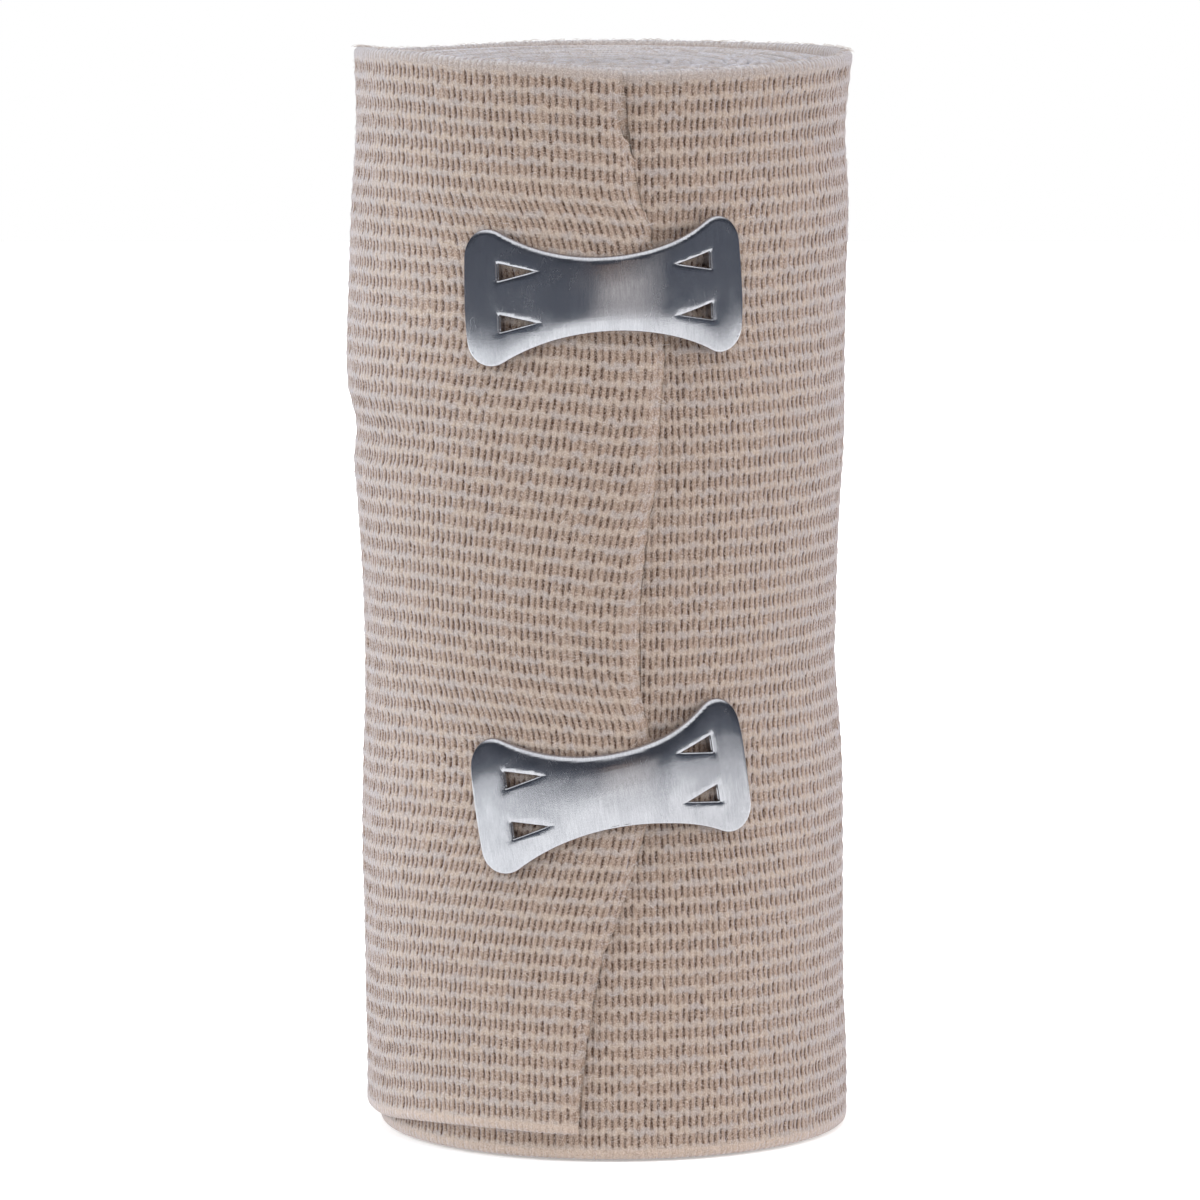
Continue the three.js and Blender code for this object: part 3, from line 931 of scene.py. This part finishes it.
def put_in_order(flat):
    """Orders the faces by place, so that they come in the same order each time."""
    ordered = sorted(flat.faces, key=lambda face: tuple(face.calc_center_median()))
    for place, face in enumerate(ordered):
        face.index = place
    flat.faces.sort()


def beside_holes(points):
    """How far each flat point lies outside the nearest triangular hole."""
    nearest = np.full(len(points), CLIP_HALF_LENGTH)
    taper = math.atan2(PUNCH_WIDTH / 2, PUNCH_LENGTH)
    for end, y in PUNCHES:
        back = PRONG_BASE - end * points[:, 0]
        off = np.abs(points[:, 1] - y)
        side = (off - (PUNCH_LENGTH - back) * math.tan(taper)) * math.cos(taper)
        beyond = np.maximum(-back, back - PUNCH_LENGTH)
        nearest = np.minimum(nearest, np.maximum(side, beyond))
    return nearest


def clip_mesh(clip):
    """A clip: stamped flat, its holes dished, then bent round the roll."""
    name = clip[0]
    flat = flat_clip(name)
    add_prongs(flat)
    put_in_order(flat)
    bmesh.ops.recalc_face_normals(flat, faces=flat.faces)
    points = np.array([v.co for v in flat.verts])
    beside = beside_holes(points)
    points[:, 2] -= HOLE_DENT * (1 - ease(beside, 0, HOLE_DENT_REACH)) * (points[:, 2] > 0)
    mesh = write_mesh(name, bend_clip(clip, points), flat, "flat", points)
    mesh.shade_smooth()
    return mesh


def clip_material():
    """Bright stamped aluminium: fine rolling lines, handling scratches, dull spots."""
    material = bpy.data.materials.new("clip_metal")
    t = Tree(material)
    flat = t.node("ShaderNodeAttribute", {"attribute_name": "flat"}, out=1)
    lines = t.noise(flat, 1.0, 3, (11.0, 0.9, 1.0), 0.7)
    grain = t.noise(flat, 9.0, 2, (1, 1, 1), 0.8)
    cloudy = t.noise(flat, 0.35, 4, (1, 1, 1))
    scratches = t.noise(flat, 0.9, 3, (1.0, 0.5, 1.0)) - 0.5
    marks = abs(scratches).ease(0.0, 0.006, 1.0, 0.0) * cloudy.ease(0.5, 0.6)
    rough = 0.11 + cloudy.ease(0.35, 0.7) * 0.09 + lines * 0.08 + marks * 0.07 + grain * 0.03
    tone = t.mix(cloudy.ease(0.3, 0.8) * 0.5, METAL_BRIGHT, METAL_DULL)
    worn = lines.ease(0.3, 0.7) * 0.35 + grain.ease(0.3, 0.7) * 0.35
    tone = t.mix(worn, tone, METAL_WORN)
    bump = t.node("ShaderNodeBump", None, Strength=0.3, Distance=1.0, Height=(lines + grain) * METAL_RELIEF)
    shader = t.node("ShaderNodeBsdfPrincipled", None, tone, Metallic=1.0, Roughness=rough, Normal=bump)
    t.node("ShaderNodeOutputMaterial", None, shader)
    return material


# Studio

def point_at(thing, target):
    """Turns a camera or a light towards a place."""
    toward = Vector(target) - thing.location
    thing.rotation_euler = toward.to_track_quat("-Z", "Y").to_euler()


def add_camera():
    """Looks at the front of the roll from a little above it."""
    lens = bpy.data.cameras.new("camera")
    lens.lens = CAMERA_LENS
    lens.sensor_width = SENSOR
    lens.clip_start = 0.01
    camera = bpy.data.objects.new("camera", lens)
    bpy.context.scene.collection.objects.link(camera)
    tilt = math.radians(CAMERA_ELEVATION)
    camera.location = (0, -CAMERA_AWAY * math.cos(tilt) * MM,
                       (CAMERA_AIM + CAMERA_AWAY * math.sin(tilt)) * MM)
    point_at(camera, (0, 0, CAMERA_AIM * MM))
    bpy.context.scene.camera = camera


# Lights: (name, place in metres, size in metres, power, tint).
LIGHTS = (
    ("overhead", (0.0, -0.25, 0.75), (0.7, 0.5), 3.2, (1, 1, 1)),
    ("left", (-0.7, -0.2, 0.25), (0.5, 0.6), 4.6, (0.87, 0.95, 1.0)),
    ("rim", (-0.6, 0.35, 0.3), (0.4, 0.6), 1.6, (0.84, 0.94, 1.0)),
    ("right", (0.7, -0.25, 0.25), (0.5, 0.6), 3.8, (0.95, 0.97, 0.99)),
    ("front", (0.0, -1.1, 0.45), (0.9, 0.5), 0.9, (1, 1, 1)),
)


def add_light(name, place, size, power, tint):
    """A soft light that is itself seen neither by the camera nor in the metal."""
    lamp = bpy.data.lights.new(name, "AREA")
    lamp.shape = "RECTANGLE"
    lamp.size, lamp.size_y = size
    lamp.energy = power
    lamp.color = tint
    light = bpy.data.objects.new(name, lamp)
    light.visible_camera = False
    light.visible_glossy = False
    bpy.context.scene.collection.objects.link(light)
    light.location = place
    point_at(light, (0, 0, CAMERA_AIM * MM))


# Floor, in metres: its size, how far its middle lies behind the roll, how far under it, and how far in
# front its glow, which is painted light, has grown dim.
FLOOR_SIZE = (0.6, 1.15)
FLOOR_BACK = 0.325
FLOOR_UNDER = 0.0002
FLOOR_DIM = (-0.06, 0.1)
FLOOR_COLOUR = colour(235, 235, 235)
DIM_GLOW = (0.16, 0.16, 0.16, 1)
FULL_GLOW = (1, 1, 1, 1)


def add_floor():
    """A glowing floor, painted light: white under and behind the roll, dim in front, where the metal
    mirrors it.
    """
    bm = bmesh.new()
    bmesh.ops.create_grid(bm, x_segments=1, y_segments=1, size=0.5)
    bmesh.ops.scale(bm, vec=(*FLOOR_SIZE, 1), verts=bm.verts)
    bmesh.ops.translate(bm, vec=(0, FLOOR_BACK, -FLOOR_UNDER), verts=bm.verts)
    mesh = bpy.data.meshes.new("floor")
    bm.to_mesh(mesh)
    bm.free()
    floor = bpy.data.objects.new("floor", mesh)
    bpy.context.scene.collection.objects.link(floor)
    material = bpy.data.materials.new("floor")
    t = Tree(material)
    depth = t.split(t.node("ShaderNodeTexCoord", None, out=3))[1]
    glow = t.mix(depth.ease(*FLOOR_DIM), DIM_GLOW, FULL_GLOW)
    shader = t.node("ShaderNodeBsdfPrincipled", None, FLOOR_COLOUR, Roughness=0.9,
                    Specular_IOR_Level=0.1, Emission_Color=glow, Emission_Strength=1.0)
    t.node("ShaderNodeOutputMaterial", None, shader)
    mesh.materials.append(material)


# The room that the clips mirror, by the way it lies from the roll, as parts of a unit
# vector: dark walls, a bright ceiling, a lit patch in front and a brown rail in it.
FILL_COLOUR = colour(176, 176, 181)
ROOM_COLOUR = colour(64, 68, 78)
WALL_COLOUR = colour(97, 102, 113)
WALL_TOP = (0.06, 0.16)
CEILING_GLOW = 1.35
CEILING_COLOUR = [part * CEILING_GLOW for part in colour(240, 242, 246)]
CEILING_FROM = (0.42, 0.75)
FRONT_COLOUR = colour(205, 202, 203)
FRONT_MIDDLE = 0.16
FRONT_HALF = (0.17, 0.22)
FRONT_TOP = (0.04, 0.1)
FRONT_BEHIND = (-0.2, 0.0)
RAIL_COLOUR = colour(158, 124, 100)
RAIL_MIDDLE = (0.07, 0.13)
RAIL_HALF_LENGTH = (0.09, 0.11)
RAIL_HALF_HEIGHT = (0.03, 0.045)


def add_world():
    """White to the camera, soft fill to cloth, a dim room with a bright ceiling to metal."""
    world = bpy.data.worlds.new("studio")
    bpy.context.scene.world = world
    t = Tree(world)
    seen, shiny = [Wire(t, t.nodes.new("ShaderNodeLightPath").outputs[name])
                   for name in ("Is Camera Ray", "Is Glossy Ray")]
    across, toward, height = t.split(t.node("ShaderNodeTexCoord"))
    room = t.mix(height.ease(*WALL_TOP), WALL_COLOUR, ROOM_COLOUR)
    room = t.mix(height.ease(*CEILING_FROM), room, CEILING_COLOUR)
    front = abs(across - FRONT_MIDDLE).ease(*FRONT_HALF, 1.0, 0.0) * toward.ease(*FRONT_BEHIND, 1.0, 0.0)
    room = t.mix(front * height.ease(*FRONT_TOP, 1.0, 0.0), room, FRONT_COLOUR)
    rail = (abs(across - RAIL_MIDDLE[0]).ease(*RAIL_HALF_LENGTH, 1.0, 0.0)
            * abs(height - RAIL_MIDDLE[1]).ease(*RAIL_HALF_HEIGHT, 1.0, 0.0))
    room = t.mix(rail, room, RAIL_COLOUR)
    fill = t.mix(shiny, FILL_COLOUR, room)
    background = t.node("ShaderNodeBackground", None, fill, 1.0)
    white = t.node("ShaderNodeBackground", None, (1, 1, 1, 1), 1.0)
    t.node("ShaderNodeOutputWorld", None, t.node("ShaderNodeMixShader", None, seen, background, white))


add_camera()
bpy.context.scene.view_settings.view_transform = "Standard"

cloth = cloth_material()
metal = clip_material()
back = np.linspace(-EDGE_ROWS, ROWS + EDGE_ROWS, BACK_POINTS)
fine = strip_stations(weave_rows(), OUTER_THICK, back)

loose_end = add_piece(
    closed_strip("bandage_loose_end", fine, weave_columns(0.0, ROOT_RIB),
                 woven_shape(OUTER_THICK, cut=True)),
    cloth, "bandage_cloth", "loose_end")
add_piece(
    closed_strip("bandage_outer_turn", fine, weave_columns(ROOT_RIB, UNDER_RIB),
                 woven_shape(OUTER_THICK)),
    cloth, "bandage_cloth", "wound_roll")
above_hem = np.linspace(ABOVE_HEM, ROWS + EDGE_ROWS, ABOVE_HEM_POINTS)
hem = [row for row in weave_rows() if row < HEM_ROWS] + list(above_hem)
add_piece(
    closed_strip("bandage_under_turn", strip_stations(hem, OUTER_THICK, back),
                 weave_columns(UNDER_RIB, INNER_RIB), woven_shape(OUTER_THICK)),
    cloth, "bandage_cloth", "wound_roll")
inner_rows = np.linspace(-EDGE_ROWS, ROWS + EDGE_ROWS, INNER_POINTS)
coarse = strip_stations(inner_rows, INNER_THICK, back[::INNER_BACK_EACH])
add_piece(
    closed_strip("bandage_inner_turns", coarse, np.arange(INNER_RIB, LAST_RIB, INNER_RIB_STEP),
                 inner_shape(INNER_THICK)),
    cloth, "bandage_cloth", "wound_roll")

add_piece(fuzz_mesh(), fuzz_material(), "bandage_cloth", "wound_roll")

for clip in CLIPS:
    add_piece(clip_mesh(clip), metal, "clip_metal", clip[0])

add_floor()
add_world()
for light in LIGHTS:
    add_light(*light)
